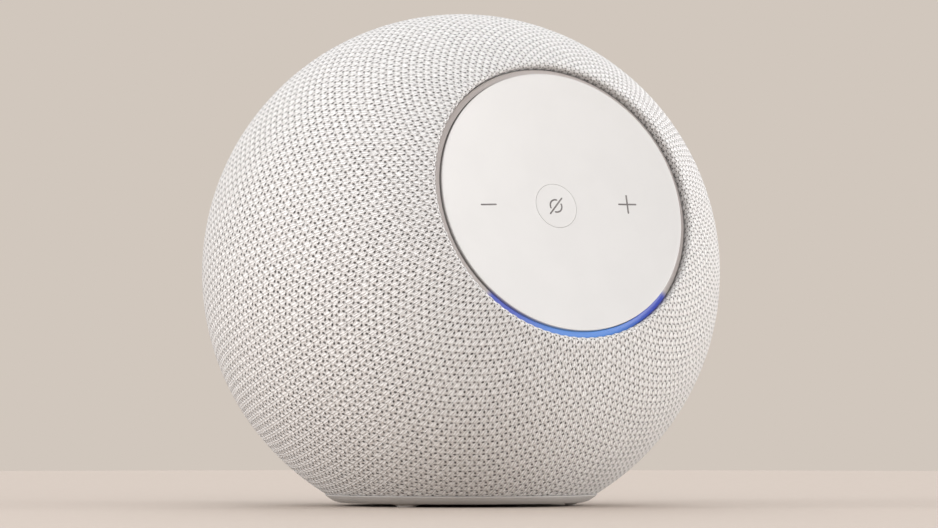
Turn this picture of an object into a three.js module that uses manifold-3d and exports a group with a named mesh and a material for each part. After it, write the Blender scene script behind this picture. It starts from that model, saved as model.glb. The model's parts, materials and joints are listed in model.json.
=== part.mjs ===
// A ball-shaped smart speaker: a knitted fabric sleeve over a perforated shell, a tilted round control panel
// with a light ring, a sealed enclosure with a woofer and three small drivers, and a base ring on three feet.
// Millimetres, +Z up, the panel faces -Y. The origin is under the ball, at the centre of its footprint's box.
import * as THREE from "three";
import { mergeVertices } from "three/addons/utils/BufferGeometryUtils.js";
import Module from "manifold-3d";

const wasm = await Module();
wasm.setup();

// ---------- Driving dimensions ----------
const BALL_R = 78; // outside of the fabric
const CENTRE_HEIGHT = 70; // the ball's centre above the table
const GAP = 0.3; // between pieces that touch on the real object
const FABRIC_T = 1.4;
const SHELL_T = 2.2; // perforated shell under the fabric
const SKIN_SEGMENTS = 32; // the same for the sleeve and the shells, so that nested facets stay parallel
const ENCLOSURE_SEGMENTS = 16;

const PANEL_TILT = THREE.MathUtils.degToRad(19.75); // how far the panel faces up from level
const OPENING_R = 42.9; // the fabric's round opening for the panel
const DISC_R = 40.66;
const DISC_EDGE_Z = 63.6; // the disc's front edge, along the panel's axis from the ball's centre
const DISH_DEPTH = 3.8; // the disc's front is a shallow dish
const DISC_T = 2;
const BUTTON_R = 6.85;
const ICON_X = 24; // the minus and plus touch areas stand this far left and right of the button
const RING_R = [40.96, 42.6]; // the light ring's inner and outer radius
const RING_Z = [59.0, 62.2];

const FABRIC_BOTTOM_Z = -66.4; // where the fabric ends above the base ring, from the ball's centre
const BASE_BOTTOM_Z = -69.1; // the base ring's underside, just above the table
const FOOT_CENTRE_R = 33;
const FOOT_ANGLES = { rear: 90, left: 210, right: 330 };
const SCREW_ANGLES = [30, 150, 270];

const PORT_R = 14; // the rear port's bezel
const PORT_FLOOR_Z = 66; // its floor, along the port's axis from the ball's centre

const ENCLOSURE_R = 70.8;
const ENCLOSURE_T = 2.5;
const PANEL_WALL_Z = 48.5; // flat walls of the enclosure, by distance from the ball's centre
const BASE_WALL_Z = 58.5;
const WOOFER_WALL_Z = 51;
const DRIVER_WALL_Z = 62.5;
const POCKET = { r: 18, floor: 58 }; // the enclosure's pocket for the rear port
const CAP_SPLIT_Z = 45.5; // where the enclosure's woofer cap meets its body, along the woofer's axis
const SPLIT_HALF_GAP = 0.7; // the gasket lies in this gap, on both sides of the split

const WOOFER_HOLE_R = 42;
const DRIVER_HOLE_R = 15.2;
const BOARD_R = 28.5;

// ---------- Directions from the ball's centre ----------
const level = (elevation) => [0, Math.cos(elevation), Math.sin(elevation)];
const PANEL = new THREE.Vector3(0, -Math.cos(PANEL_TILT), Math.sin(PANEL_TILT));
const PORT = PANEL.clone().negate();
const WOOFER = new THREE.Vector3(...level(THREE.MathUtils.degToRad(48)));
const DRIVERS = {
  left: new THREE.Vector3(-1, 0, -0.15).normalize(),
  right: new THREE.Vector3(1, 0, -0.15).normalize(),
  front: new THREE.Vector3(...level(THREE.MathUtils.degToRad(180 + 39))),
};
const DOWN = new THREE.Vector3(0, 0, -1);

// ---------- Geometry helpers ----------
function toSolid(geometry) {
  const bare = geometry.clone();
  bare.deleteAttribute("normal");
  bare.deleteAttribute("uv");
  const merged = mergeVertices(bare, 1e-4);
  return new wasm.Manifold(
    new wasm.Mesh({
      numProp: 3,
      vertProperties: merged.attributes.position.array,
      triVerts: new Uint32Array(merged.index.array),
    }),
  );
}

function toGeometry(solid) {
  const mesh = solid.getMesh();
  const geometry = new THREE.BufferGeometry();
  geometry.setAttribute("position", new THREE.BufferAttribute(mesh.vertProperties, 3));
  geometry.setIndex(new THREE.BufferAttribute(mesh.triVerts, 1));
  geometry.computeVertexNormals();
  return geometry;
}

const cut = (body, ...tools) =>
  toGeometry(tools.reduce((left, tool) => left.subtract(toSolid(tool)), toSolid(body)));
const join = (body, ...others) =>
  toGeometry(others.reduce((sum, other) => sum.add(toSolid(other)), toSolid(body)));
const common = (body, ...others) =>
  toGeometry(others.reduce((rest, other) => rest.intersect(toSolid(other)), toSolid(body)));

// A closed outline of [radius, z] points turned round the Z axis.
function revolve(outline, segments = 32) {
  const doubled = outline.reduce((sum, [r, z], i) => {
    const [nextR, nextZ] = outline[(i + 1) % outline.length];
    return sum + r * nextZ - nextR * z;
  }, 0);
  const ordered = doubled > 0 ? outline : [...outline].reverse();
  const points = [...ordered, ordered[0]].map(([r, z]) => new THREE.Vector2(r, z));
  return toGeometry(toSolid(new THREE.LatheGeometry(points, segments).rotateX(Math.PI / 2)));
}

const cylinder = (radius, bottom, top, segments = 32) =>
  new THREE.CylinderGeometry(radius, radius, top - bottom, segments)
    .rotateX(Math.PI / 2)
    .translate(0, 0, (bottom + top) / 2);
const tube = (inner, outer, bottom, top, segments = 32) =>
  revolve([[inner, bottom], [outer, bottom], [outer, top], [inner, top]], segments);
const box = (width, depth, bottom, top) =>
  new THREE.BoxGeometry(width, depth, top - bottom).translate(0, 0, (bottom + top) / 2);
const ball = (radius, segments = SKIN_SEGMENTS) =>
  new THREE.SphereGeometry(radius, segments, segments / 2).rotateX(Math.PI / 2);

// A turn that carries +Z to a direction. Directions in the YZ plane keep X where it is.
function aim(direction) {
  if (Math.abs(direction.x) < 1e-9)
    return new THREE.Quaternion().setFromAxisAngle(
      new THREE.Vector3(1, 0, 0),
      Math.atan2(-direction.y, direction.z),
    );
  return new THREE.Quaternion().setFromUnitVectors(new THREE.Vector3(0, 0, 1), direction);
}
const aimed = (geometry, direction) => geometry.clone().applyQuaternion(aim(direction));
const around = (degrees, radius) => {
  const angle = THREE.MathUtils.degToRad(degrees);
  return [radius * Math.cos(angle), radius * Math.sin(angle), 0];
};

// A flat strip that follows points in the YZ plane, as wide as it is extruded along X.
function strip(points, thickness, width) {
  const path = new THREE.CatmullRomCurve3(
    points.map(([y, z]) => new THREE.Vector3(y, z, 0)),
    false,
    "centripetal",
  );
  const steps = 4 * (points.length - 1);
  const side = (half) =>
    Array.from({ length: steps + 1 }, (_, i) => {
      const at = path.getPoint(i / steps);
      const along = path.getTangent(i / steps);
      return new THREE.Vector2(at.x - half * along.y, at.y + half * along.x);
    });
  const shape = new THREE.Shape([...side(-thickness / 2), ...side(thickness / 2).reverse()]);
  const solid = new THREE.ExtrudeGeometry(shape, { depth: width, bevelEnabled: false });
  // The shape's X, Y and depth become the object's Y, Z and X.
  return solid.applyMatrix4(new THREE.Matrix4().set(0, 0, 1, 0, 1, 0, 0, 0, 0, 1, 0, 0, 0, 0, 0, 1));
}

// ---------- Materials ----------
const finish = (color, roughness, metalness = 0) =>
  new THREE.MeshStandardMaterial({ color, roughness, metalness });
const MATERIALS = {
  fabric: finish(0xe6e2de, 0.95),
  shell: finish(0x8d8a88, 0.7),
  white: finish(0xe9e5e1, 0.45),
  rubber: finish(0xcfcbc7, 0.8),
  diffuser: finish(0xb9b0aa, 0.3),
  board: finish(0x1f5b3a, 0.5),
  black: finish(0x1c1c1e, 0.55),
  steel: finish(0xb4b6ba, 0.3, 1),
  aluminium: finish(0xa9abb0, 0.45, 1),
  paper: finish(0x2a2a2c, 0.85),
  softRubber: finish(0x161616, 0.7),
  copper: finish(0xb87333, 0.35, 1),
};

const speaker = new THREE.Group();
const OPENING_HEIGHT = Math.sqrt(BALL_R ** 2 - OPENING_R ** 2);
const FRONT_REACH = OPENING_HEIGHT * Math.cos(PANEL_TILT) + OPENING_R * Math.sin(PANEL_TILT);
const centre = new THREE.Group();
centre.position.set(0, (FRONT_REACH - BALL_R) / 2, CENTRE_HEIGHT); // puts the footprint's box over the origin
speaker.add(centre);

function group(direction) {
  const made = new THREE.Group();
  made.quaternion.copy(aim(direction));
  centre.add(made);
  return made;
}
const panelGroup = group(PANEL);
const portGroup = group(PORT);
const wooferGroup = group(WOOFER);

function piece(name, geometry, material, parent = centre, position = [0, 0, 0], turnDegrees = 0) {
  const mesh = new THREE.Mesh(geometry, MATERIALS[material]);
  mesh.name = name;
  mesh.position.set(...position);
  mesh.rotation.z = THREE.MathUtils.degToRad(turnDegrees);
  parent.add(mesh);
  return mesh;
}

// ---------- Fabric sleeve and the perforated shell under it ----------
const LARGE = 100; // past the whole ball
const SHELL_R = BALL_R - FABRIC_T - GAP;

// A hollow ball with the panel's, the base's and the port's openings.
function skin(outer, thickness, openingR, bottom, portR) {
  return cut(
    ball(outer),
    ball(outer - thickness),
    aimed(cylinder(openingR, 30, LARGE, 36), PANEL),
    aimed(cylinder(portR, 30, LARGE, 24), PORT),
    box(2 * LARGE, 2 * LARGE, -LARGE, bottom),
  );
}

function soundHoles() {
  const hole = (radius, at, direction) =>
    aimed(cylinder(radius, 40, LARGE, 8).translate(...at), direction);
  return [
    ...[0, 90, 180, 270].map((degrees) => hole(15, around(degrees, 24), WOOFER)),
    ...Object.values(DRIVERS).map((direction) => hole(12.5, [0, 0, 0], direction)),
  ];
}

function buildSkins() {
  piece("fabric_sleeve", skin(BALL_R, FABRIC_T, OPENING_R, FABRIC_BOTTOM_Z, PORT_R + GAP), "fabric");
  const shell = cut(
    skin(SHELL_R, SHELL_T, OPENING_R + 2.4, FABRIC_BOTTOM_Z + 2.7, PORT_R + 2 * GAP),
    ...soundHoles(),
  );
  const half = (side) =>
    new THREE.BoxGeometry(2 * LARGE, LARGE, 2 * LARGE).translate(0, side * (LARGE / 2 + GAP / 2), 0);
  piece("grille_shell_front", common(shell, half(-1)), "shell");
  piece("grille_shell_rear", common(shell, half(1)), "shell");
}

// ---------- Base ----------
const FOOT = { width: 6.4, depth: 3.6, top: -68.4 };
const BASE_SCREW = { headR: 2.6, shankR: 1.3, head: [-68.6, -67.2], top: -58 };
const BOSS = { r: 3.2, bottom: -64.8, pilotTop: -57.7 };
const PLATE_R = 29.3;
const LEDGE_R = 27.5;

function buildBase() {
  const outline = [
    [LEDGE_R, -67], [LEDGE_R, -65.6], [36, -65.6], [36, -66.7], [41, -66.7], [40.8, -67.1],
    [38.7, -68.4], [36.9, BASE_BOTTOM_Z], [PLATE_R + GAP, BASE_BOTTOM_Z], [PLATE_R + GAP, -67],
  ];
  const pocket = (degrees) =>
    box(FOOT.depth + 2 * GAP, FOOT.width + 2 * GAP, -80, FOOT.top + GAP)
      .translate(FOOT_CENTRE_R, 0, 0)
      .rotateZ(THREE.MathUtils.degToRad(degrees));
  const screwHole = (degrees) => {
    const at = around(degrees, FOOT_CENTRE_R);
    return [
      cylinder(BASE_SCREW.headR + 0.4, -80, BASE_SCREW.head[1] + GAP, 12).translate(...at),
      cylinder(BASE_SCREW.shankR + 0.4, -80, -60, 8).translate(...at),
    ];
  };
  const ring = cut(
    revolve(outline, 36),
    ...Object.values(FOOT_ANGLES).map(pocket),
    ...SCREW_ANGLES.flatMap(screwHole),
  );
  piece("base_ring", ring, "white");
  piece("base_plate", cylinder(PLATE_R, -68.8, -67.3, 36), "white");
  for (const [name, degrees] of Object.entries(FOOT_ANGLES)) {
    const pad = box(FOOT.depth, FOOT.width, -CENTRE_HEIGHT, FOOT.top);
    piece(`foot_pad_${name}`, pad, "rubber", centre, around(degrees, FOOT_CENTRE_R), degrees);
  }
  SCREW_ANGLES.forEach((degrees, i) => {
    const screw = join(
      cylinder(BASE_SCREW.headR, ...BASE_SCREW.head, 10),
      cylinder(BASE_SCREW.shankR, BASE_SCREW.head[0] + 0.5, BASE_SCREW.top, 6),
    );
    piece(`base_screw_${i + 1}`, screw, "steel", centre, around(degrees, FOOT_CENTRE_R));
  });
}

// ---------- Rear port ----------
const JACK = { r: 4.6, socketR: 3.1, bottom: 58.6, socketFloor: 60.2, pinR: 1 };

function buildPort() {
  const bezelSurface = BALL_R + 0.3;
  const cup = cut(
    cylinder(PORT_R, PORT_FLOOR_Z - 1.5, LARGE, 24),
    cylinder(PORT_R - 1.5, PORT_FLOOR_Z, LARGE, 24),
    cylinder(JACK.socketR + 0.5, 0, LARGE, 16),
  );
  piece("port_bezel", common(cup, ball(bezelSurface)), "white", portGroup);
  const jack = cut(
    cylinder(JACK.r, JACK.bottom, PORT_FLOOR_Z - 1.5 - GAP, 16),
    cylinder(JACK.socketR, JACK.socketFloor, LARGE, 16),
  );
  piece("dc_jack", jack, "black", portGroup);
  piece("dc_jack_pin", cylinder(JACK.pinR, JACK.socketFloor + GAP, 65.5, 8), "steel", portGroup);
}

// The flat lead from the jack leaves the port's pocket and goes down between the enclosure and the shell.
function buildPowerLead() {
  const tilt = (along, across) => [
    along * PORT.y - across * PORT.z,
    along * PORT.z + across * PORT.y,
  ];
  const arc = [-38, -44, -50, -56].map((degrees) => around(degrees, 71.8).slice(0, 2));
  const fromBoard = [tilt(61.5, -6.6), tilt(61, -11.5), tilt(65, -16), tilt(69, -16.4)];
  const route = [...fromBoard, ...arc, [34, -60.9], [25, -60.9]];
  piece("power_lead", strip(route, 0.8, 4), "black", centre, [-2, 0, 0]);
}

// ---------- Control panel ----------
const dish = (r) => DISC_EDGE_Z - DISH_DEPTH * (1 - (r / DISC_R) ** 2); // the disc's front face
const BRACKET_FLOOR = [55.4, 56.7];
const CONTROL_BOARD = { r: 34, bottom: 51, top: 52.2 };
const PANEL_SCREW_R = 35.5;
const PANEL_SCREW_ANGLES = [90, 210, 330];
const FLANGE_R = 8.6; // keeps the button under the disc

function discWithBosses() {
  const front = [BUTTON_R + GAP, 20, 31, DISC_R - 1.2].map((r) => [r, dish(r)]);
  const edge = [[DISC_R - 0.45, dish(DISC_R) - 0.15], [DISC_R, dish(DISC_R) - 0.8], [DISC_R, 59], [38.9, 59]];
  const back = [38.9, 31, 20, BUTTON_R + GAP].map((r) => [r, dish(r) - DISC_T]);
  const screwFace = dish(PANEL_SCREW_R);
  const boss = (degrees) =>
    cylinder(2, BRACKET_FLOOR[1] + GAP, screwFace - 1, 10).translate(...around(degrees, PANEL_SCREW_R));
  const pilot = (degrees) =>
    cylinder(1.4, 50, screwFace - 2.2, 8).translate(...around(degrees, PANEL_SCREW_R));
  return cut(
    join(revolve([...front, ...edge, ...back], 36), ...PANEL_SCREW_ANGLES.map(boss)),
    ...PANEL_SCREW_ANGLES.map(pilot),
  );
}

function buttonCap() {
  const under = dish(0) - DISC_T; // the disc's back face at the button
  return revolve(
    [
      [0, dish(0) - 0.1], [4.5, dish(0) - 0.05], [BUTTON_R - 0.35, dish(0) + 0.1],
      [BUTTON_R, dish(0) - 0.25], [BUTTON_R, under - GAP], [FLANGE_R, under - GAP], [FLANGE_R, under - 1.3],
      [1.8, under - 1.3], [1.8, 55.9], [0, 55.9],
    ],
    20,
  );
}

function bracket() {
  const outline = [
    [30, BRACKET_FLOOR[0]], [44.4, BRACKET_FLOOR[0]], [44.4, 60.3], [RING_R[1] + GAP, 60.3],
    [RING_R[1] + GAP, BRACKET_FLOOR[1]], [30, BRACKET_FLOOR[1]],
  ];
  const standoff = (degrees) =>
    cylinder(1.5, CONTROL_BOARD.top + GAP, BRACKET_FLOOR[1] - 0.3, 8).translate(...around(degrees, 31.8));
  const leg = (degrees) =>
    cylinder(2, PANEL_WALL_Z + GAP, BRACKET_FLOOR[0] + 0.3, 10).translate(...around(degrees, 40));
  const screwHole = (degrees) => cylinder(1.6, 50, 60, 8).translate(...around(degrees, PANEL_SCREW_R));
  return cut(
    join(revolve(outline, 36), ...[30, 150, 270].flatMap((degrees) => [standoff(degrees), leg(degrees)])),
    ...PANEL_SCREW_ANGLES.map(screwHole),
  );
}

function ledBoard() {
  const [inner, outer] = [37.9, RING_R[1]];
  const led = (degrees) =>
    box(1.6, 2.4, 57.8, 58.6)
      .translate((RING_R[0] + RING_R[1]) / 2, 0, 0)
      .rotateZ(THREE.MathUtils.degToRad(degrees));
  const leds = Array.from({ length: 8 }, (_, i) => led(22.5 + 45 * i));
  return join(tube(inner, outer, 57, 58, 28), ...leds);
}

function buildPanel() {
  piece("control_disc", discWithBosses(), "white", panelGroup);
  piece("mute_button", buttonCap(), "white", panelGroup);
  const [ringIn, ringOut] = RING_R;
  const ringOutline = [
    [ringIn, RING_Z[0]], [ringOut, RING_Z[0]], [ringOut, RING_Z[1] - 0.6], [ringOut - 0.3, RING_Z[1] - 0.3],
    [ringIn + 0.3, RING_Z[1]], [ringIn, RING_Z[1] - 0.2],
  ];
  piece("light_ring", revolve(ringOutline, 36), "diffuser", panelGroup);
  piece("led_ring_board", ledBoard(), "board", panelGroup);
  piece("panel_bracket", bracket(), "shell", panelGroup);
  const { r, bottom, top } = CONTROL_BOARD;
  piece("control_board", cylinder(r, bottom, top, 28), "board", panelGroup);
  const switchBase = top + GAP;
  const switchBody = cut(box(7, 7, switchBase, switchBase + 2), cylinder(1.9, switchBase + 0.4, 60, 10));
  piece("mute_switch_body", switchBody, "black", panelGroup);
  piece("mute_switch_plunger", cylinder(1.6, 53.6, 55.6, 10), "rubber", panelGroup);
  const touchPad = cylinder(5, switchBase, dish(ICON_X - 5) - DISC_T - GAP, 16);
  for (const [name, side] of [["minus", -1], ["plus", 1]])
    piece(`${name}_touch_pad`, touchPad, "softRubber", panelGroup, [side * ICON_X, 0, 0]);
  const screw = join(cylinder(2.4, 54, 55.1, 10), cylinder(1.1, 54.5, 60, 6));
  PANEL_SCREW_ANGLES.forEach((degrees, i) =>
    piece(`panel_screw_${i + 1}`, screw, "steel", panelGroup, around(degrees, PANEL_SCREW_R)),
  );
}

// The flat cable from the control board goes down between the enclosure and the shell, beside the
// front driver.
function buildRibbon() {
  const arcR = 67.8; // at this cable's distance from the middle plane, it keeps clear of both balls
  const arc = [47, 55, 65, 75, 83].map((degrees) => {
    const angle = THREE.MathUtils.degToRad(degrees);
    return [-arcR * Math.sin(angle), arcR * Math.cos(angle)];
  });
  // Points along the panel's own Y and Z, then on the ball's arc.
  const inPanel = [[-18, 50.2], [-30, 50.2], [-41, 50], ...arc];
  const turn = Math.PI / 2 - PANEL_TILT;
  const inBall = inPanel.map(([y, z]) => [
    y * Math.cos(turn) - z * Math.sin(turn),
    y * Math.sin(turn) + z * Math.cos(turn),
  ]);
  const cable = strip([...inBall, [-27.5, -60.3], [-20, -60.6], [-13, -60.6]], 0.5, 3.4);
  piece("panel_ribbon_cable", cable, "white", centre, [21.5, 0, 0]);
}

// ---------- Sealed enclosure ----------
// A ball with flat walls for the panel, the base and the drivers, and a pocket for the port. The inset
// form is the hollow inside it.
function enclosureForm(inset) {
  const wall = (direction, distance) =>
    aimed(box(3 * LARGE, 3 * LARGE, distance - inset, 2 * LARGE), direction);
  return cut(
    ball(ENCLOSURE_R - inset, ENCLOSURE_SEGMENTS),
    wall(PANEL, PANEL_WALL_Z),
    wall(DOWN, BASE_WALL_Z),
    wall(WOOFER, WOOFER_WALL_Z),
    ...Object.values(DRIVERS).map((direction) => wall(direction, DRIVER_WALL_Z)),
    aimed(cylinder(POCKET.r + inset, POCKET.floor - inset, LARGE, 20), PORT),
  );
}

const WOOFER_SCREW_R = 44;
const WOOFER_SCREW_ANGLES = [45, 135, 225, 315];

function buildEnclosure() {
  const bosses = SCREW_ANGLES.map((degrees) =>
    cylinder(BOSS.r, BOSS.bottom, -BASE_WALL_Z + 1, 10).translate(...around(degrees, FOOT_CENTRE_R)),
  );
  const pegs = [30, 150, 270].map((degrees) =>
    cylinder(1.8, -61.7, -BASE_WALL_Z + 1, 8).translate(...around(degrees + 30, 24.5)),
  );
  const pilots = SCREW_ANGLES.map((degrees) =>
    cylinder(BASE_SCREW.shankR + 0.4, -80, BOSS.pilotTop, 8).translate(...around(degrees, FOOT_CENTRE_R)),
  );
  const screwPilots = WOOFER_SCREW_ANGLES.map((degrees) =>
    aimed(cylinder(1.5, 49.5, 60, 6).translate(...around(degrees, WOOFER_SCREW_R)), WOOFER),
  );
  const whole = cut(
    join(enclosureForm(0), ...bosses, ...pegs),
    enclosureForm(ENCLOSURE_T),
    ...pilots,
    ...screwPilots,
    aimed(cylinder(WOOFER_HOLE_R, 30, LARGE, 24), WOOFER),
    ...Object.values(DRIVERS).map((direction) => aimed(cylinder(DRIVER_HOLE_R, 40, LARGE, 14), direction)),
  );
  const slab = (from, to) => aimed(box(3 * LARGE, 3 * LARGE, from, to), WOOFER);
  piece("enclosure_body", common(whole, slab(-2 * LARGE, CAP_SPLIT_Z - SPLIT_HALF_GAP)), "black");
  piece("enclosure_woofer_cap", common(whole, slab(CAP_SPLIT_Z + SPLIT_HALF_GAP, 2 * LARGE)), "black");
  const gasketR = Math.sqrt(ENCLOSURE_R ** 2 - CAP_SPLIT_Z ** 2) - 2;
  const half = SPLIT_HALF_GAP - GAP;
  piece(
    "enclosure_gasket",
    tube(gasketR - 1.6, gasketR, CAP_SPLIT_Z - half, CAP_SPLIT_Z + half, 24),
    "softRubber",
    wooferGroup,
  );
}

// ---------- Woofer ----------
function buildWoofer() {
  const basket = revolve(
    [
      [46.5, 53.3], [46.5, 51.3], [41.3, 51.3], [38.6, 44], [27, 32.5], [25.5, 28.5], [10.8, 28.5],
      [10.8, 30], [24, 30], [25.4, 33.4], [37.1, 44.8], [39.4, 51.6], [39.4, 53.3],
    ],
    20,
  );
  const window = (degrees) =>
    new THREE.BoxGeometry(20, 17, 9)
      .translate(33, 0, 38.5)
      .rotateZ(THREE.MathUtils.degToRad(degrees));
  const hole = (degrees) => cylinder(1.5, 45, 60, 6).translate(...around(degrees, WOOFER_SCREW_R));
  const frame = cut(
    basket,
    ...[0, 90, 180, 270].map(window),
    ...WOOFER_SCREW_ANGLES.map(hole),
  );
  piece("woofer_basket", frame, "steel", wooferGroup);
  piece(
    "woofer_magnet",
    revolve([[0, 12], [25, 12], [25, 28.2], [10.6, 28.2], [10.6, 16], [8, 16], [8, 28.2], [0, 28.2]], 20),
    "steel",
    wooferGroup,
  );
  piece(
    "woofer_cone",
    revolve(
      [
        [0, 41.4], [6, 40.6], [10.4, 38], [34.1, 52.4], [34.1, 51.2], [10.1, 36], [10.1, 20.5], [8.5, 20.5],
        [8.5, 38.2], [5.8, 39.6], [0, 40.4],
      ],
      20,
    ),
    "paper",
    wooferGroup,
  );
  const roll = { mid: 36.75, out: 2.3, wall: 0.6, z: 51.9 };
  const arch = (radius, angles) =>
    angles.map((degrees) => {
      const [dr, dz] = around(degrees, radius);
      return [roll.mid + dr, roll.z + dz];
    });
  const rollTop = arch(roll.out, [0, 45, 90, 135, 180]);
  const rollUnderside = arch(roll.out - roll.wall, [180, 135, 90, 45, 0]);
  const rollOutline = [...rollTop, ...rollUnderside];
  piece("woofer_surround", revolve(rollOutline, 20), "softRubber", wooferGroup);
  const spiderZ = 31; // clear of the cone at its inward limit
  const wave = (offset) =>
    [10.6, 13, 15.5, 18, 20.5, 23].map((r, i) => [r, spiderZ + (i % 2 ? 0.7 : 0) + offset]);
  piece("woofer_spider", revolve([...wave(0.5), ...wave(0).reverse()], 16), "fabric", wooferGroup);
  const screw = join(cylinder(2.4, 53.6, 54.8, 10), cylinder(1.1, 50, 54.2, 6));
  WOOFER_SCREW_ANGLES.forEach((degrees, i) =>
    piece(`woofer_screw_${i + 1}`, screw, "steel", wooferGroup, around(degrees, WOOFER_SCREW_R)),
  );
}

// ---------- Three small full-range drivers ----------
function buildDriver(side, direction) {
  const parent = group(direction);
  const segments = 14;
  const frame = [
    [18, 62.8], [14.7, 62.8], [14.7, 56], [11.5, 51.2], [11.5, 50], [5.2, 50], [5.2, 51.2], [10.4, 51.6],
    [13.7, 56.4], [13.7, 64.4], [18, 64.4],
  ];
  const magnet = [[0, 42], [11, 42], [11, 49.7], [5, 49.7], [5, 45], [3.2, 45], [3.2, 49.7], [0, 49.7]];
  const cone = [
    [0, 56.9], [4.6, 55.6], [11.2, 60.6], [11.2, 59.8], [4.6, 54.3], [4.6, 46.8], [3.6, 46.8], [3.6, 54.8],
    [0, 56.1],
  ];
  const surround = [[11.5, 59.8], [11.5, 60.5], [12.4, 61.6], [13.4, 60.5], [13.4, 59.8], [12.4, 60.9]];
  piece(`${side}_driver_frame`, revolve(frame, segments), "black", parent);
  piece(`${side}_driver_magnet`, revolve(magnet, segments), "steel", parent);
  piece(`${side}_driver_cone`, revolve(cone, segments), "paper", parent);
  piece(`${side}_driver_surround`, revolve(surround, segments), "softRubber", parent);
}

// ---------- Electronics ----------
function buildElectronics() {
  const boardTop = -62;
  const boardBottom = -63.2;
  piece("main_board", cylinder(BOARD_R, boardBottom, boardTop, 24), "board");
  const underBoard = boardBottom - GAP;
  piece("processor_shield", box(20, 16, underBoard - 2.4, underBoard), "steel", centre, [-6, 0, 0]);
  piece("amplifier_chip", box(8, 8, underBoard - 1.2, underBoard), "black", centre, [14, 4, 0]);
  const fins = [-5, 0, 5].map((y) => box(26, 1.2, boardTop + 0.8, -59).translate(0, y, 0));
  const plate = box(26, 16, boardTop + GAP, boardTop + 1.1);
  piece("heat_spreader", join(plate, ...fins), "aluminium", centre, [-6, 2, 0]);
  for (const [name, side] of [["left", -1], ["right", 1]]) {
    const direction = new THREE.Vector3(side * 0.72, 0.1, 0.69).normalize();
    piece(`antenna_board_${name}`, box(8, 18, 71.3, 72.1), "board", group(direction));
  }
}

buildSkins();
buildBase();
buildPort();
buildPowerLead();
buildPanel();
buildRibbon();
buildEnclosure();
buildWoofer();
for (const [side, direction] of Object.entries(DRIVERS)) buildDriver(side, direction);
buildElectronics();

export default speaker;
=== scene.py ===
"""A ball-shaped smart speaker in a knitted sleeve, on a plain floor in soft light. Metres, +Z up."""
import json
import math

import bmesh
import bpy
from mathutils import Matrix, Vector


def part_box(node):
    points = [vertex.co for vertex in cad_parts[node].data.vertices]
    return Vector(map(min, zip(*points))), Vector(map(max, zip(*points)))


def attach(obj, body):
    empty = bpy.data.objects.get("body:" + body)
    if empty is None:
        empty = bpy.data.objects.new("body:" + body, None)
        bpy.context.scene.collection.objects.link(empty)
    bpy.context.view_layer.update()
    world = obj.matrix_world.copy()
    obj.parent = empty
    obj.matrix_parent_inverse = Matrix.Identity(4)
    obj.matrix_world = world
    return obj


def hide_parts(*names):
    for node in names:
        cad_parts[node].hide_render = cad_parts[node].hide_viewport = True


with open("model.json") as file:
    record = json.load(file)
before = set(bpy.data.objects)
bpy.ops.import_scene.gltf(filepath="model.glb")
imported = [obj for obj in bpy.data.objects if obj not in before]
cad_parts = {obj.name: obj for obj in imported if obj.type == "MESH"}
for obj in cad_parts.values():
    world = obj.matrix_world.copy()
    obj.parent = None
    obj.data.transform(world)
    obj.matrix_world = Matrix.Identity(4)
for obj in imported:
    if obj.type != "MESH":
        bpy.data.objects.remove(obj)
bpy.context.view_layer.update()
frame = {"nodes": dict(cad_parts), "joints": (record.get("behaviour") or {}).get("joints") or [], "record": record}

MM = 0.001

# ---------- The frame's own measures ----------
LOW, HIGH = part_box("fabric_sleeve")
BALL_R = (HIGH.x - LOW.x) / 2 / MM  # millimetres from here on, in the ball's own places
CENTRE = Vector(((LOW.x + HIGH.x) / 2, HIGH.y - BALL_R * MM, HIGH.z - BALL_R * MM))
PRESS = next(Vector(j["axis"]) for j in frame["joints"] if j["child"] == "mute_button")
PANEL = -PRESS.normalized()
PANEL_TURN = math.atan2(-PANEL.y, PANEL.z)  # about X, from straight up to the panel's direction

DISC_R = 40.66
DISC_EDGE = 63.6  # along the panel's axis from the ball's centre
DISH_DEPTH = 3.8
DISC_T = 2.0
BUTTON_R = 6.85
BUTTON_SEAM = 0.06
ICON_X = 24.0
MARK = 0.5  # the printed marks' stroke
RIM_R = 42.9  # the sleeve's opening for the panel
RIM_LIP = 1.0
RING_R = (40.74, 42.6)
RING_TOP = 62.3
PORT_R = 14.0
PORT_FLOOR = 66.0
JACK_R = 3.1
FABRIC_BOTTOM = -66.5
STITCHES = 92  # round the sleeve
COURSE = 2.8  # millimetres along the sleeve for one pair of staggered rows


def turned(angle):
    """From a frame with +Z along a direction in the YZ plane to the row frame, in millimetres."""
    return Matrix.Translation(CENTRE) @ Matrix.Rotation(angle, 4, "X") @ Matrix.Scale(MM, 4)


UPRIGHT = turned(0)
PANEL_FRAME = turned(PANEL_TURN)
PORT_FRAME = turned(PANEL_TURN + math.pi)


# ---------- Meshes ----------
def arc(centre, radius, start, end, steps):
    """Points on an arc, in degrees."""
    angles = [math.radians(start + (end - start) * i / steps) for i in range(steps + 1)]
    return [(centre[0] + radius * math.cos(a), centre[1] + radius * math.sin(a)) for a in angles]


def softened(outline, steps=4):
    """A closed outline of (r, z) or (r, z, softening) points, with a curve at each softened corner."""
    made = []
    for i, point in enumerate(outline):
        if len(point) == 2:
            made.append(tuple(point))
            continue
        here = Vector(point[:2])
        before, after = (Vector(outline[j % len(outline)][:2]) - here for j in (i - 1, i + 1))
        a = here + before.normalized() * min(point[2], before.length * 0.49)
        b = here + after.normalized() * min(point[2], after.length * 0.49)
        for k in range(steps + 1):
            t = k / steps
            made.append(tuple(a * (1 - t) ** 2 + here * 2 * t * (1 - t) + b * t**2))
    return made


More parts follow.
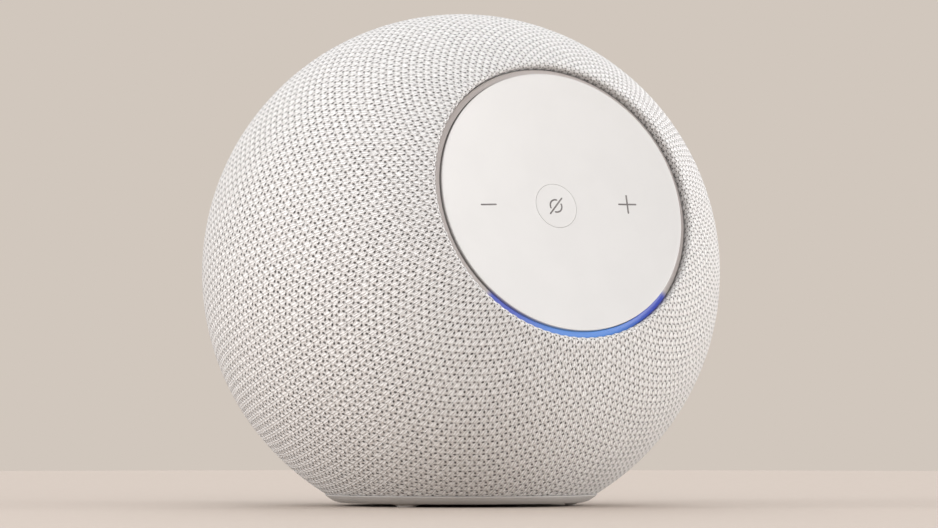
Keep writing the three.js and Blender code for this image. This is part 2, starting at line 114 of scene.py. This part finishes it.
def new_object(name, bm, matrix, material, body="speaker", replaces=(), crease=35):
    """Finishes a mesh built in millimetres and puts it on its body."""
    bmesh.ops.remove_doubles(bm, verts=bm.verts, dist=1e-4)
    bmesh.ops.recalc_face_normals(bm, faces=bm.faces)
    for face in bm.faces:
        face.smooth = True
    for edge in bm.edges:
        edge.smooth = len(edge.link_faces) == 2 and edge.calc_face_angle(0) < math.radians(crease)
    bm.transform(matrix)
    mesh = bpy.data.meshes.new(name)
    bm.to_mesh(mesh)
    bm.free()
    mesh.materials.append(material)
    piece = bpy.data.objects.new(name, mesh)
    bpy.context.scene.collection.objects.link(piece)
    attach(piece, body)
    if replaces:
        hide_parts(*replaces)
    return piece


def revolved(outline, segments=192, closed=True):
    """Turns an outline of (r, z) points round Z."""
    bm = bmesh.new()
    rings = []
    for r, z in outline:
        count = segments if r > 1e-6 else 1
        turns = [math.tau * i / segments for i in range(count)]
        rings.append([bm.verts.new((r * math.cos(a), r * math.sin(a), z)) for a in turns])
    pairs = list(zip(rings, rings[1:] + rings[:1])) if closed else list(zip(rings, rings[1:]))
    for one, two in pairs:
        if len(one) == 1 and len(two) == 1:
            continue
        for i in range(segments):
            corners = [one[i % len(one)], one[(i + 1) % len(one)], two[(i + 1) % len(two)], two[i % len(two)]]
            bm.faces.new(list(dict.fromkeys(corners)))
    return bm


# ---------- Node materials ----------
def linear(red, green, blue):
    """A colour given in 0 to 255 as it looks, for a shader."""
    levels = (red, green, blue)
    return tuple(((c / 255 + 0.055) / 1.055) ** 2.4 if c > 10 else c / 255 / 12.92 for c in levels) + (1,)


class Shader:
    """A new material and short ways to add nodes to it."""

    def __init__(self, name, roughness, metallic=0.0):
        self.material = bpy.data.materials.new(name)
        self.material.use_nodes = True
        self.tree = self.material.node_tree
        self.surface = self.tree.nodes["Principled BSDF"]
        self.surface.inputs["Roughness"].default_value = roughness
        self.surface.inputs["Metallic"].default_value = metallic

    def node(self, kind, **inputs):
        made = self.tree.nodes.new(kind)
        for name, value in inputs.items():
            self.put(made.inputs[name.replace("_", " ")], value)
        return made

    def put(self, socket, value):
        if isinstance(value, bpy.types.NodeSocket):
            self.tree.links.new(value, socket)
        else:
            socket.default_value = value

    def math(self, operation, *values):
        made = self.tree.nodes.new("ShaderNodeMath")
        made.operation = operation
        for socket, value in zip(made.inputs, values):
            self.put(socket, value)
        return made.outputs[0]

    def ramp(self, value, low, high, to_low=0.0, to_high=1.0):
        """Smoothly from to_low at low to to_high at high."""
        made = self.node(
            "ShaderNodeMapRange", Value=value, From_Min=low, From_Max=high, To_Min=to_low, To_Max=to_high
        )
        made.interpolation_type = "SMOOTHSTEP"
        return made.outputs["Result"]

    def mix(self, share, one, two):
        made = self.tree.nodes.new("ShaderNodeMix")
        made.data_type = "RGBA"
        for socket, value in ((made.inputs[0], share), (made.inputs[6], one), (made.inputs[7], two)):
            self.put(socket, value)
        return made.outputs[2]

    def noise(self, vector, scale, detail=2.0, roughness=0.5):
        made = self.node("ShaderNodeTexNoise", Vector=vector, Scale=scale, Detail=detail, Roughness=roughness)
        return made.outputs["Fac"]

    def vector(self, x, y, z=0.0):
        return self.node("ShaderNodeCombineXYZ", X=x, Y=y, Z=z).outputs[0]

    def place(self, matrix=UPRIGHT):
        """The point being shaded, in a frame's own millimetres."""
        mapping = self.node("ShaderNodeMapping", Vector=self.node("ShaderNodeTexCoord").outputs["Object"])
        mapping.vector_type = "TEXTURE"
        where, turn, size = matrix.decompose()
        mapping.inputs["Location"].default_value = where
        mapping.inputs["Rotation"].default_value = turn.to_euler()
        mapping.inputs["Scale"].default_value = size
        return mapping.outputs[0]

    def bump(self, height, distance, strength=1.0):
        made = self.node("ShaderNodeBump", Height=height, Distance=distance * MM, Strength=strength)
        self.put(self.surface.inputs["Normal"], made.outputs[0])

    def colour(self, value):
        self.put(self.surface.inputs["Base Color"], value)


def grained(name, colour, roughness, metallic=0.0, grain=0.35, depth=0.02, spread=0.06):
    """Moulded plastic, rubber, board or metal: a slight cloud of colour, an uneven gloss and a fine grain."""
    shader = Shader(name, roughness, metallic)
    place = shader.place()
    cloud = shader.noise(place, 0.09, 3)
    dark = tuple(c * (1 - spread) for c in colour[:3]) + (1,)
    shader.colour(shader.mix(shader.ramp(cloud, 0.3, 0.7), dark, colour))
    fine = shader.noise(place, 1 / grain, 2)
    gloss = shader.ramp(fine, 0.25, 0.75, roughness * 0.9, min(1.0, roughness * 1.12))
    shader.put(shader.surface.inputs["Roughness"], gloss)
    shader.bump(fine, depth)
    return shader


def knit():
    """Staggered stitches round the panel's axis: two strands with a painted highlight along their middles, and a
    hole on each side of them painted dark, partly its darker backing and partly painted shade.
    """
    shader = Shader("knitted_yarn", 0.92)
    place = shader.place(PANEL_FRAME)
    x, y, z = shader.node("ShaderNodeSeparateXYZ", Vector=place).outputs
    length = shader.node("ShaderNodeVectorMath", Vector=place)
    length.operation = "LENGTH"
    polar = shader.math("ARCCOSINE", shader.math("DIVIDE", z, length.outputs["Value"]))
    # Where the sleeve turns in at a rim, its rows carry on round the turn.
    turned_in = shader.math("SUBTRACT", BALL_R, length.outputs["Value"])
    round_ball = shader.math("MULTIPLY", polar, BALL_R)
    travelled = shader.math("SUBTRACT", round_ball, shader.math("MULTIPLY", turned_in, 2.0))
    across = shader.math("MULTIPLY", shader.math("ARCTAN2", x, y), STITCHES / math.tau)
    along = shader.math("DIVIDE", travelled, COURSE)

    def oval(aside, down, half_width, half_height, slant=0.0):
        """The squared distance from a hole's middle, 1 at its edge."""
        level = shader.math("SUBTRACT", down, shader.math("MULTIPLY", aside, slant))
        wide = shader.math("POWER", shader.math("DIVIDE", aside, half_width), 2)
        high = shader.math("POWER", shader.math("DIVIDE", level, half_height), 2)
        return shader.math("ADD", wide, high)

    def holes(shift):
        """How far into a hole of one of the two sets of stitches a point is, from 0 to 1."""
        cell_across = shader.math("ADD", across, shift)
        cell_along = shader.math("ADD", along, shift)
        aside = shader.math("SUBTRACT", 0.5, shader.math("FRACT", cell_across))
        down = shader.math("MULTIPLY", shader.math("SUBTRACT", shader.math("FRACT", cell_along), 0.5), COURSE)
        cell = shader.vector(shader.math("FLOOR", cell_across), shader.math("FLOOR", cell_along), shift)
        chance = shader.node("ShaderNodeTexWhiteNoise", Vector=cell).outputs["Value"]
        left = oval(shader.math("ADD", aside, 0.18), down, 0.082, 0.40, -1.6)
        right = oval(shader.math("SUBTRACT", aside, 0.175), down, 0.082, 0.40, 2.2)
        hole = shader.ramp(shader.math("MINIMUM", left, right), 0.05, 1.9, 1.0, 0.0)
        apex = shader.ramp(oval(aside, shader.math("ADD", down, 0.55), 0.075, 0.27), 0.0, 2.0, 0.4, 0.0)
        uneven = shader.ramp(chance, 0.0, 1.0, 0.72, 1.0)
        return shader.math("MULTIPLY", shader.math("MAXIMUM", hole, apex), uneven)

    def strand(side, brightness, start):
        """One of the two strands down each column, which dips under the next stitch in each pair; lighter where it
        lies on top, a painted highlight, and the same value raises the bump.
        """
        columns = shader.math("MULTIPLY_ADD", across, 2.0, 0.5)
        column = shader.math("SUBTRACT", 0.5, shader.math("FRACT", columns))
        aside = shader.math("ABSOLUTE", shader.math("SUBTRACT", column, side))
        begun = shader.math("ADD", along, start)
        staggered = shader.math("MULTIPLY_ADD", shader.math("FLOOR", columns), 0.5, begun)
        phase = shader.math("FRACT", staggered)
        reach = shader.math("ABSOLUTE", shader.math("SUBTRACT", phase, 0.5))
        over = shader.ramp(reach, 0.22, 0.48, 1.0, 0.0)
        return shader.math("MULTIPLY", shader.ramp(aside, 0.02, 0.15, brightness, 0.0), over)

    hole = shader.math("MAXIMUM", holes(0.0), holes(0.5))
    strands = shader.math("MAXIMUM", strand(-0.17, 0.62, 0.0), strand(0.17, 0.46, 0.25))
    threads = shader.vector(shader.math("MULTIPLY", across, 9.0), shader.math("MULTIPLY", along, 1.5))
    thread = shader.math("SUBTRACT", shader.noise(threads, 1.0, 2, 0.6), 0.5)
    fluff = shader.math("SUBTRACT", shader.noise(place, 1.8, 3, 0.7), 0.5)
    fibre = shader.math("MULTIPLY_ADD", thread, 1.5, shader.math("MULTIPLY", fluff, 0.7))
    # The strands lighten the yarn along their raised middles, a painted highlight; the thread and fluff noise is
    # the yarn's own uneven tone.
    fibre_tone_and_highlight = shader.ramp(shader.math("ADD", shader.math("ADD", strands, fibre), 0.42), 0.0, 1.0)
    yarn = shader.mix(fibre_tone_and_highlight, linear(212, 206, 202), linear(250, 249, 248))
    patch = shader.ramp(shader.noise(place, 0.045, 2), 0.35, 0.65, 0.0, 0.08)
    yarn = shader.mix(patch, yarn, linear(226, 221, 220))
    # The holes are painted dark: partly the darker backing seen through the knit, partly painted shade in the
    # hollows between the stitches.
    hole_backing_and_shade = shader.mix(fibre_tone_and_highlight, linear(38, 32, 29), linear(78, 70, 64))
    shader.colour(shader.mix(shader.math("MULTIPLY", hole, 0.95), yarn, hole_backing_and_shade))
    shader.bump(shader.math("SUBTRACT", shader.math("MULTIPLY", fibre_tone_and_highlight, 0.75), hole), 0.5, 1.0)
    shader.surface.inputs["Sheen Weight"].default_value = 0.6
    shader.surface.inputs["Sheen Roughness"].default_value = 0.35
    shader.surface.inputs["Specular IOR Level"].default_value = 0.2
    return shader.material


def ring_glow():
    """A grey diffuser, lit over the lowest quarter: light blue in the middle and indigo at both ends."""
    grey = linear(186, 178, 174)
    shader = grained("light_diffuser", grey, 0.35, grain=0.5, depth=0.01)
    place = shader.place(PANEL_FRAME)
    x, y, z = shader.node("ShaderNodeSeparateXYZ", Vector=place).outputs
    aside = shader.math("ABSOLUTE", shader.math("ARCTAN2", x, shader.math("MULTIPLY", y, -1.0)))
    lit = shader.ramp(aside, math.radians(44.5), math.radians(48.5), 1.0, 0.0)
    middle = shader.ramp(aside, math.radians(8), math.radians(40), 1.0, 0.0)
    shader.put(
        shader.surface.inputs["Emission Color"], shader.mix(middle, linear(50, 56, 160), linear(78, 138, 205))
    )
    shader.put(shader.surface.inputs["Emission Strength"], shader.math("MULTIPLY", lit, 0.72))
    shader.colour(shader.mix(lit, grey, linear(58, 74, 128)))
    return shader.material


WHITE = grained(
    "satin_white_plastic", linear(203, 201, 199), 0.42, grain=0.22, depth=0.012, spread=0.02
).material
RUBBER = grained("foot_rubber", linear(196, 189, 183), 0.8, grain=0.4, depth=0.05).material
DARK = grained("black_plastic", linear(30, 29, 30), 0.5).material
STEEL = grained("zinc_steel", linear(168, 168, 172), 0.32, 1.0, depth=0.01).material
INK = grained("grey_ink", linear(116, 112, 110), 0.6, grain=0.15, depth=0.01, spread=0.1).material
KNIT = knit()
GLOW = ring_glow()


# ---------- Sleeve ----------
def sleeve_profile():
    """From inside the panel's opening, over its lip, round the ball and into the port's opening."""
    lip_centre = (RIM_R + RIM_LIP, math.sqrt((BALL_R - RIM_LIP) ** 2 - (RIM_R + RIM_LIP) ** 2))
    leaves = math.degrees(math.atan2(lip_centre[1], lip_centre[0]))
    lip = arc(lip_centre, RIM_LIP, 180, leaves, 8)
    back_lip, back_r = 0.9, PORT_R + 0.25
    back = (back_r + back_lip, -math.sqrt((BALL_R - back_lip) ** 2 - (back_r + back_lip) ** 2))
    arrives = math.degrees(math.atan2(back[1], back[0]))
    steps = round((leaves - arrives) / 1.0)
    ball = arc((0, 0), BALL_R, leaves, arrives, steps)[1:-1]
    back_arc = arc(back, back_lip, arrives, -180, 6)
    inside = [(RIM_R + 0.1, lip_centre[1] - 2.6), (RIM_R, lip_centre[1] - 1.3)]
    return inside + lip + ball + back_arc + [(back_r, back[1] + 1.5)]


def build_sleeve():
    columns = STITCHES * 6
    bm = revolved(sleeve_profile(), columns, closed=False)
    for vert in bm.verts:
        # Each stitch pulls the rim a little.
        out = math.hypot(vert.co.x, vert.co.y)
        near = max(0.0, 1 - abs(out - RIM_R) / 2.0) if vert.co.z > 0 else 0.0
        wave = math.cos(STITCHES * math.atan2(vert.co.x, vert.co.y))
        vert.co.xy *= 1 + 0.1 * near * wave / out
    bm.transform(Matrix.Rotation(PANEL_TURN, 4, "X"))
    everything = bm.verts[:] + bm.edges[:] + bm.faces[:]
    cut = bmesh.ops.bisect_plane(
        bm, geom=everything, plane_co=(0, 0, FABRIC_BOTTOM), plane_no=(0, 0, -1), clear_outer=True
    )
    hem = [e for e in cut["geom_cut"] if isinstance(e, bmesh.types.BMEdge)]
    for inwards, up in ((0.4, 0.05), (0.7, 0.8)):
        turned_in = bmesh.ops.extrude_edge_only(bm, edges=hem)["geom"]
        for vert in (v for v in turned_in if isinstance(v, bmesh.types.BMVert)):
            vert.co.xy *= 1 - inwards / math.hypot(vert.co.x, vert.co.y)
            vert.co.z += up
        hem = [e for e in turned_in if isinstance(e, bmesh.types.BMEdge)]
    sleeve = new_object("knit_sleeve", bm, UPRIGHT, KNIT, replaces=["fabric_sleeve"])


# ---------- Control panel ----------
def dish(r):
    """The disc's front face, along the panel's axis."""
    return DISC_EDGE - DISH_DEPTH * (1 - (r / DISC_R) ** 2)


def button_face(r):
    """The button's face follows the dish, very slightly raised."""
    return dish(r) + 0.03


def build_panel():
    inner = BUTTON_R + BUTTON_SEAM
    steps = 24
    radii = [inner + (DISC_R - inner) * i / steps for i in range(1, steps)]
    outline = [(inner, dish(inner), 0.1)] + [(r, dish(r)) for r in radii]
    outline += [(DISC_R, DISC_EDGE, 0.35), (DISC_R, 62.9, 0.15), (40.2, 62.8), (40.2, 59), (38.9, 59)]
    outline += [(38.9, dish(38.9) - DISC_T)]
    outline += [(r, dish(r) - DISC_T) for r in (31, 22, 14)] + [(inner, dish(inner) - DISC_T)]
    disc = new_object(
        "dished_disc", revolved(softened(outline)), PANEL_FRAME, WHITE, replaces=["control_disc"]
    )

    under = dish(0) - DISC_T
    outline = [(0, button_face(0))] + [(r, button_face(r)) for r in (1.5, 3, 4.5, 5.8)]
    outline += [(BUTTON_R, button_face(BUTTON_R), 0.1), (BUTTON_R, under - 0.3), (8.6, under - 0.3)]
    outline += [(8.6, under - 1.3), (1.8, under - 1.3), (1.8, 55.9, 0.2), (0, 55.9)]
    button = new_object(
        "mute_key", revolved(softened(outline), 96), PANEL_FRAME, WHITE, "mute_button", ["mute_button"]
    )

    outline = [
        (RING_R[0], 59), (RING_R[1], 59), (RING_R[1], RING_TOP - 0.6, 0.3), (RING_R[0], RING_TOP, 0.2)
    ]
    ring = new_object(
        "light_diffuser", revolved(softened(outline)), PANEL_FRAME, GLOW, replaces=["light_ring"]
    )


# ---------- Printed marks ----------
def stroke(bm, points, width, face):
    """A flat printed stroke with round ends, along points in the panel's plane, laid just over a face."""
    half = width / 2

    def cap(tip, neighbour):
        way = (Vector(tip) - Vector(neighbour)).normalized()
        side = Vector((-way.y, way.x))
        return [Vector(tip) + half * (way * math.sin(t) + side * math.cos(t)) for t in (0.6, 1.57, 2.54)]

    left, right = [], []
    for i, point in enumerate(points):
        here = Vector(point)
        way = Vector(points[min(i + 1, len(points) - 1)]) - Vector(points[max(i - 1, 0)])
        side = Vector((-way.y, way.x)).normalized() * half
        left.append(here + side)
        right.append(here - side)
    outline = left + cap(points[-1], points[-2]) + right[::-1] + cap(points[0], points[1])
    top = [bm.verts.new((p.x, p.y, face(p.length) + 0.02)) for p in outline]
    low = [bm.verts.new((p.x, p.y, face(p.length) - 0.15)) for p in outline]
    bm.faces.new(top)
    bm.faces.new(low[::-1])
    for i in range(len(top)):
        j = (i + 1) % len(top)
        bm.faces.new([top[i], top[j], low[j], low[i]])


def line(a, b, steps=8):
    return [(a[0] + (b[0] - a[0]) * i / steps, a[1] + (b[1] - a[1]) * i / steps) for i in range(steps + 1)]


def build_marks():
    reach = 2.72
    lean = math.radians(3)  # the two marks lean towards each other a little

    def mark(side, *ends):
        """A line between two points given from a mark's middle, leaning with it."""
        turn = Matrix.Rotation(-side * lean, 2)
        return line(*(tuple(turn @ Vector(end) + Vector((side * ICON_X, 0))) for end in ends))

    minus = bmesh.new()
    stroke(minus, mark(-1, (-reach, 0), (reach, 0)), MARK, dish)
    plus = bmesh.new()
    stroke(plus, mark(1, (-reach, 0), (reach, 0)), MARK, dish)
    for up in (-1, 1):
        stroke(plus, mark(1, (0, MARK / 2 * up), (0, reach * up)), MARK, dish)
    for name, bm in (("minus_mark", minus), ("plus_mark", plus)):
        new_object(name, bm, PANEL_FRAME, INK, crease=180)

    mute = bmesh.new()
    slash = 2.4
    stroke(mute, line((-slash, -slash), (slash, slash)), MARK, button_face)
    for middle in (135, 315):
        stroke(mute, arc((0, 0), 1.95, middle - 62, middle + 62, 16), MARK, button_face)
    new_object("mute_mark", mute, PANEL_FRAME, INK, "mute_button", crease=180)


# ---------- Base ----------
def foot_places():
    for name in ("rear", "left", "right"):
        low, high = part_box(f"foot_pad_{name}")
        middle = ((low + high) / 2 - CENTRE) / MM
        yield name, math.atan2(middle.y, middle.x), math.hypot(middle.x, middle.y)


def moulded_foot(floor):
    """A small foot that flares out into the ring above it."""
    bm = bmesh.new()
    loops = []
    flare = ((0, 0.9), (0.08, 1.0), (0.3, 1.03), (0.5, 1.12), (0.66, 1.28), (0.8, 1.55), (1.3, 1.7))
    for rise, spread in flare:
        loop = []
        for i in range(40):
            c, s = math.cos(math.tau * i / 40), math.sin(math.tau * i / 40)
            x, y = (math.copysign(abs(v) ** 0.6, v) for v in (c, s))
            loop.append(bm.verts.new((1.6 * spread * x, 2.9 * spread * y, floor + rise)))
        loops.append(loop)
    for low, high in zip(loops, loops[1:]):
        for i in range(40):
            bm.faces.new((low[i], low[(i + 1) % 40], high[(i + 1) % 40], high[i]))
    bm.faces.new(loops[0][::-1])
    bm.faces.new(loops[-1])
    return bm


def build_base():
    outline = [(27.5, -67), (27.5, -65.6), (36, -65.6), (38.8, -66.6)]
    outline += [(41.05, -66.6, 0.12), (40.85, -66.95, 0.12), (39.9, -67.6), (38.5, -68.5)]
    outline += [(36.6, -69.1, 0.5), (30.0, -69.1, 0.3), (30.0, -67)]
    ring = new_object("base_ring_shell", revolved(softened(outline)), UPRIGHT, WHITE, replaces=["base_ring"])

    outline = [(0, -68.3), (9, -68.3), (9.6, -68.8, 0.2), (27.5, -68.8), (28.9, -68.8, 0.5)]
    outline += [(29.3, -67.3), (0, -67.3)]
    plate = new_object(
        "base_cover", revolved(softened(outline), 128), UPRIGHT, WHITE, replaces=["base_plate"]
    )

    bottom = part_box("foot_pad_rear")[0].z
    floor = (bottom - CENTRE.z) / MM
    for name, angle, out in foot_places():
        bm = moulded_foot(floor)
        place = UPRIGHT @ Matrix.Rotation(angle, 4, "Z") @ Matrix.Translation((out, 0, 0))
        foot = new_object(f"foot_{name}", bm, place, RUBBER, replaces=[f"foot_pad_{name}"])


# ---------- Rear port ----------
def build_port():
    top = math.sqrt(BALL_R**2 - PORT_R**2)
    outline = [
        (JACK_R + 0.5, PORT_FLOOR - 1.5), (PORT_R, PORT_FLOOR - 1.5), (PORT_R, top + 0.5, 0.6),
        (PORT_R - 1.5, top + 0.5, 0.6), (PORT_R - 1.9, PORT_FLOOR, 1.2), (JACK_R + 1.6, PORT_FLOOR, 0.3),
        (JACK_R + 1.4, PORT_FLOOR + 0.6, 0.3), (JACK_R + 0.5, PORT_FLOOR + 0.6, 0.3),
    ]
    cup = new_object("port_cup", revolved(softened(outline), 128), PORT_FRAME, WHITE, replaces=["port_bezel"])
    outline = [
        (0, 58.6), (4.6, 58.6), (4.6, 64.2, 0.3), (JACK_R, 64.2, 0.3), (JACK_R - 0.1, 60.2), (0, 60.2),
    ]
    jack = new_object("power_socket", revolved(softened(outline), 64), PORT_FRAME, DARK, replaces=["dc_jack"])
    outline = [(0, 60.2), (1, 60.2), (1, 65.5, 0.6), (0, 65.5)]
    pin = new_object(
        "power_pin", revolved(softened(outline), 32), PORT_FRAME, STEEL, replaces=["dc_jack_pin"]
    )


# ---------- Pieces inside keep their CAD shape ----------
def finish_inside():
    metals = {"brushed_steel", "aluminium", "chrome"}
    roughness = {"rubber": 0.8, "fabric": 0.95, "brushed_steel": 0.35, "aluminium": 0.4}
    materials = {}
    for entry in frame["record"]["materials"]:
        metal = entry["class"] in metals
        rough = roughness.get(entry["class"], 0.5)
        colour = tuple(entry["base_color"][:3]) + (1,)
        shader = grained(f"inner_{entry['slot']}", colour, rough, float(metal), spread=0.12)
        materials[entry["slot"]] = shader.material
    slots = {s["node"]: s["material_slot"] for s in frame["record"]["subparts"]}
    for name, node in frame["nodes"].items():
        node.data.materials.clear()
        node.data.materials.append(materials[slots[name]])


# ---------- Floor, light and camera ----------
def build_stage():
    """A plain pale table top."""
    floor = Shader("pale_floor", 0.8)
    mottle = floor.ramp(floor.noise(floor.place(), 0.3, 3), 0.3, 0.7)
    floor.colour(floor.mix(mottle, linear(186, 174, 164), linear(189, 177, 167)))
    floor.surface.inputs["Specular IOR Level"].default_value = 0.1
    bm = bmesh.new()
    bmesh.ops.create_circle(bm, cap_ends=True, segments=256, radius=0.68)
    mesh = bpy.data.meshes.new("floor")
    bm.to_mesh(mesh)
    bm.free()
    mesh.materials.append(floor.material)
    table = bpy.data.objects.new("floor", mesh)
    bpy.context.scene.collection.objects.link(table)


def light(name, azimuth, elevation, distance, size, power):
    """An area light that looks at the ball, from a compass direction as the camera's is given."""
    a, e = math.radians(azimuth), math.radians(elevation)
    away = Vector((math.sin(a) * math.cos(e), -math.cos(a) * math.cos(e), math.sin(e)))
    data = bpy.data.lights.new(name, "AREA")
    data.shape = "DISK"
    data.size = size
    data.energy = power
    lamp = bpy.data.objects.new(name, data)
    lamp.location = CENTRE + away * distance
    lamp.rotation_euler = away.to_track_quat("Z", "Y").to_euler()
    bpy.context.scene.collection.objects.link(lamp)


def build_world():
    """A bright studio above the table and dim warm light below it. The camera sees a plain backdrop."""
    world = bpy.data.worlds.new("studio")
    world.use_nodes = True
    tree = world.node_tree
    add, link = tree.nodes.new, tree.links.new
    height = add("ShaderNodeSeparateXYZ")
    link(add("ShaderNodeTexCoord").outputs["Generated"], height.inputs[0])
    rise = add("ShaderNodeMapRange")
    rise.inputs["From Min"].default_value, rise.inputs["From Max"].default_value = -0.25, 0.2
    link(height.outputs["Z"], rise.inputs["Value"])
    around = add("ShaderNodeMix")
    around.data_type = "RGBA"
    around.inputs[6].default_value = (0.18, 0.165, 0.155, 1)
    around.inputs[7].default_value = (0.97, 0.965, 0.97, 1)
    link(rise.outputs["Result"], around.inputs[0])
    seen = add("ShaderNodeMix")
    seen.data_type = "RGBA"
    link(add("ShaderNodeLightPath").outputs["Is Camera Ray"], seen.inputs[0])
    link(around.outputs[2], seen.inputs[6])
    seen.inputs[7].default_value = linear(209, 199, 189)
    link(seen.outputs[2], tree.nodes["Background"].inputs["Color"])
    bpy.context.scene.world = world


def build_lights():
    build_world()
    light("left", -105, 12, 1.3, 0.7, 8.0)
    light("right", 58, 4, 1.3, 0.8, 10.5)
    light("fill", 8, 2, 1.5, 1.0, 6.0)
    light("back", 150, 40, 1.5, 1.0, 5.0)
    light("front", -35, 40, 1.5, 0.8, 2.0)
    bpy.context.scene.view_settings.view_transform = "Standard"


def build_camera():
    azimuth, distance, height = math.radians(-30.25), 5.0, 0.0889
    lens, sensor, width = 637.0, 36.0, 938
    focal = lens / sensor * width
    data = bpy.data.cameras.new("camera")
    data.lens, data.sensor_width = lens, sensor
    data.clip_end = 50
    camera = bpy.data.objects.new("camera", data)
    level = Vector((math.sin(azimuth), -math.cos(azimuth), 0))
    camera.location = Vector((CENTRE.x, CENTRE.y, height)) + level * distance
    # The ball's centre lies a little left of the picture's middle, and below it.
    left, below = 8.0 / focal, 9.1 / focal
    right = Vector((-level.y, level.x, 0))
    target = CENTRE + right * (left * distance) + Vector((0, 0, below * distance))
    back = camera.location - target
    camera.rotation_euler = back.to_track_quat("Z", "Y").to_euler()
    bpy.context.scene.collection.objects.link(camera)
    bpy.context.scene.camera = camera


finish_inside()
build_sleeve()
build_panel()
build_marks()
build_base()
build_port()
build_stage()
build_lights()
build_camera()
